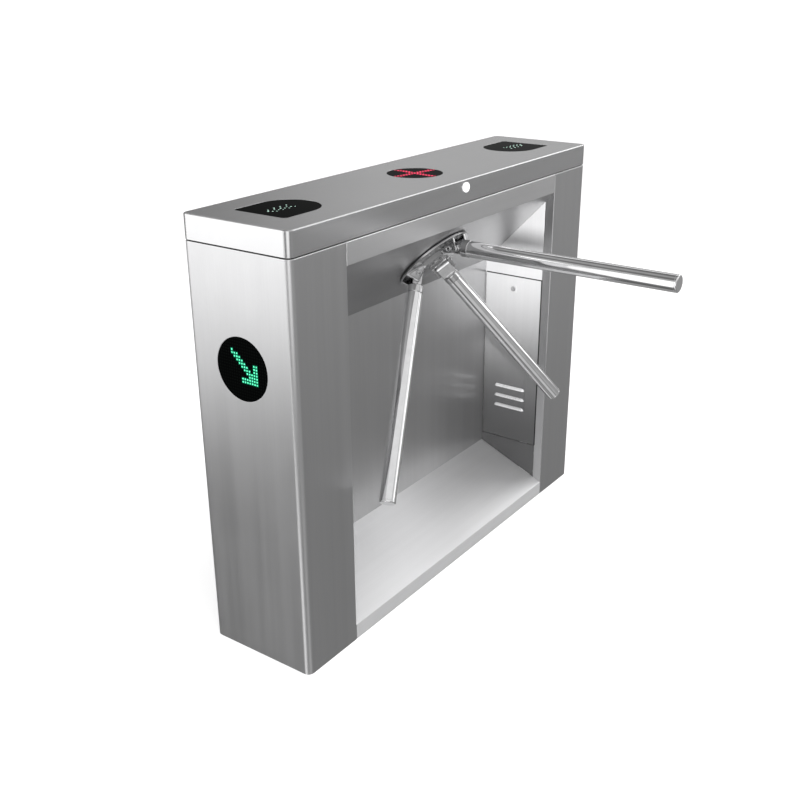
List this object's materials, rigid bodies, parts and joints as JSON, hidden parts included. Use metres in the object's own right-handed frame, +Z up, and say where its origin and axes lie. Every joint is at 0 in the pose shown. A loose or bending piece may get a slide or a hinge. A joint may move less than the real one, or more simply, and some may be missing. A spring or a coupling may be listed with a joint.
{
  "type": "visitor counter turnstile",
  "caption": "Bridge-shaped stainless tripod turnstile with three tilted arms on a hub, a hinged lid with round and D-shaped windows, arrow windows in its ends and louvred pillar doors.",
  "frame": {"origin": "centre of the cabinet's footprint on the floor, at the middle of the four floor anchors", "axes": "+X along the cabinet, -Y towards the lane that the arms reach into, +Z up"},
  "size_m": [1.2, 0.8048, 0.98],
  "materials": {
    "brushed_cabinet": "satin brushed",
    "brushed_lid": "satin brushed",
    "dark_frame": "powder coat",
    "gasket_rubber": "matt",
    "black_window": "gloss",
    "green_display": "matt board",
    "red_display": "matt board",
    "zinc_plate": "zinc plated",
    "machined_steel": "machined",
    "black_housing": "moulded",
    "circuit_board": "solder mask",
    "gear_brass": "cut",
    "polished_hub": "cast and polished",
    "polished_arm": "mirror polished",
    "chrome_lock": "bright chrome"
  },
  "bodies": {
    "cabinet": {"base_frame": "dark_frame", "left_end_shell": "brushed_cabinet", "right_end_shell": "brushed_cabinet", "rear_panel": "brushed_cabinet", "header_panel": "brushed_cabinet", "niche_back_panel": "brushed_cabinet", "niche_floor_panel": "brushed_cabinet", "left_side_panel": "brushed_cabinet", "right_side_panel": "brushed_cabinet", "top_frame": "dark_frame", "lid_gasket": "gasket_rubber", "left_arrow_window": "black_window", "right_arrow_window": "black_window", "arrow_displays": "green_display", "mechanism_front_plate": "zinc_plate", "mechanism_rear_plate": "zinc_plate", "spacer_posts": "machined_steel", "bearing_housings": "zinc_plate", "shaft_bearings": "machined_steel", "drive_motor": "black_housing", "left_lock_solenoid": "black_housing", "right_lock_solenoid": "black_housing", "pawl_pins": "machined_steel", "release_solenoid": "black_housing", "encoder_sensor": "black_housing", "mechanism_screws": "machined_steel", "control_board": "circuit_board", "power_supply": "zinc_plate", "counter_module": "black_housing", "lid_hinge_leaves": "machined_steel", "lid_hinge_pins": "machined_steel"},
    "rotor": {"hub": "polished_hub", "hub_cap": "polished_hub", "main_shaft": "machined_steel", "main_gear": "gear_brass", "lock_disc": "machined_steel", "encoder_disc": "black_housing", "pivot_bolts": "polished_hub", "side_arm_roots": "polished_hub", "side_arm_tubes": "polished_arm", "side_arm_caps": "polished_arm"},
    "barrier_arm": {"barrier_arm_root": "polished_hub", "barrier_arm_tube": "polished_arm", "barrier_arm_cap": "polished_arm"},
    "pinion": {"pinion": "gear_brass"},
    "left_pawl": {"left_pawl": "machined_steel"},
    "right_pawl": {"right_pawl": "machined_steel"},
    "left_plunger": {"left_plunger": "machined_steel"},
    "right_plunger": {"right_plunger": "machined_steel"},
    "release_rod": {"release_rod": "machined_steel"},
    "lid": {"lid_cover": "brushed_lid", "reader_windows": "black_window", "centre_window": "black_window", "reader_modules": "black_housing", "centre_display": "red_display"},
    "lid_lock": {"lid_lock_plug": "chrome_lock"},
    "left_door": {"left_door": "brushed_cabinet"},
    "right_door": {"right_door": "brushed_cabinet"},
    "left_door_lock": {"left_door_lock": "chrome_lock"},
    "right_door_lock": {"right_door_lock": "chrome_lock"}
  },
  "joints": [
    {"name": "rotor_spin", "type": "hinge", "parent": "cabinet", "child": "rotor", "pos_m": [0, -0.05317, 0.78808], "axis": [0, -0.7193, -0.6947], "continuous": true},
    {"name": "barrier_arm_drop", "type": "hinge", "parent": "rotor", "child": "barrier_arm", "pos_m": [0, -0.11084, 0.82189], "axis": [1, 0, 0], "range_deg": [0, 88]},
    {"name": "pinion_spin", "type": "hinge", "parent": "cabinet", "child": "pinion", "pos_m": [0.06928, 0.00699, 0.79057], "axis": [0, -0.7193, -0.6947], "continuous": true},
    {"name": "left_pawl_swing", "type": "hinge", "parent": "cabinet", "child": "left_pawl", "pos_m": [-0.08809, -0.00252, 0.83064], "axis": [0, 0.7193, 0.6947], "range_deg": [0, 11], "stiffness_Nm_per_rad": 0.5, "springref_deg": -14.32},
    {"name": "left_plunger_slide", "type": "slide", "parent": "cabinet", "child": "left_plunger", "axis": [0.866, 0.3473, -0.3597], "range_m": [0, 0.0085]},
    {"name": "right_pawl_swing", "type": "hinge", "parent": "cabinet", "child": "right_pawl", "pos_m": [0.08809, -0.00252, 0.83064], "axis": [0, -0.7193, -0.6947], "range_deg": [0, 11], "stiffness_Nm_per_rad": 0.5, "springref_deg": -14.32},
    {"name": "right_plunger_slide", "type": "slide", "parent": "cabinet", "child": "right_plunger", "axis": [-0.866, 0.3473, -0.3597], "range_m": [0, 0.0085]},
    {"name": "release_rod_slide", "type": "slide", "parent": "cabinet", "child": "release_rod", "axis": [0, 0.7193, 0.6947], "range_m": [0, 0.006], "stiffness_N_per_m": 400, "springref_m": -0.004},
    {"name": "lid_hinge", "type": "hinge", "parent": "cabinet", "child": "lid", "pos_m": [0, 0.145, 0.927], "axis": [-1, 0, 0], "range_deg": [0, 100]},
    {"name": "lid_lock_turn", "type": "hinge", "parent": "lid", "child": "lid_lock", "pos_m": [0, -0.14, 0.962], "axis": [0, 1, 0], "range_deg": [0, 90]},
    {"name": "left_door_tilt", "type": "hinge", "parent": "cabinet", "child": "left_door", "pos_m": [-0.4345, -0.028, 0.1495], "axis": [0, 1, 0], "range_deg": [0, 20]},
    {"name": "left_door_lock_turn", "type": "hinge", "parent": "left_door", "child": "left_door_lock", "pos_m": [-0.433, -0.028, 0.601], "axis": [1, 0, 0], "range_deg": [0, 90]},
    {"name": "right_door_tilt", "type": "hinge", "parent": "cabinet", "child": "right_door", "pos_m": [0.4345, -0.028, 0.1495], "axis": [0, -1, 0], "range_deg": [0, 20]},
    {"name": "right_door_lock_turn", "type": "hinge", "parent": "right_door", "child": "right_door_lock", "pos_m": [0.433, -0.028, 0.601], "axis": [1, 0, 0], "range_deg": [0, 90]}
  ],
  "couplings": [
    {"joint": "pinion_spin", "follows": "rotor_spin", "ratio": -3},
    {"joint": "left_plunger_slide", "follows": "left_pawl_swing", "m_per_rad": 0.042},
    {"joint": "right_plunger_slide", "follows": "right_pawl_swing", "m_per_rad": 0.042}
  ]
}
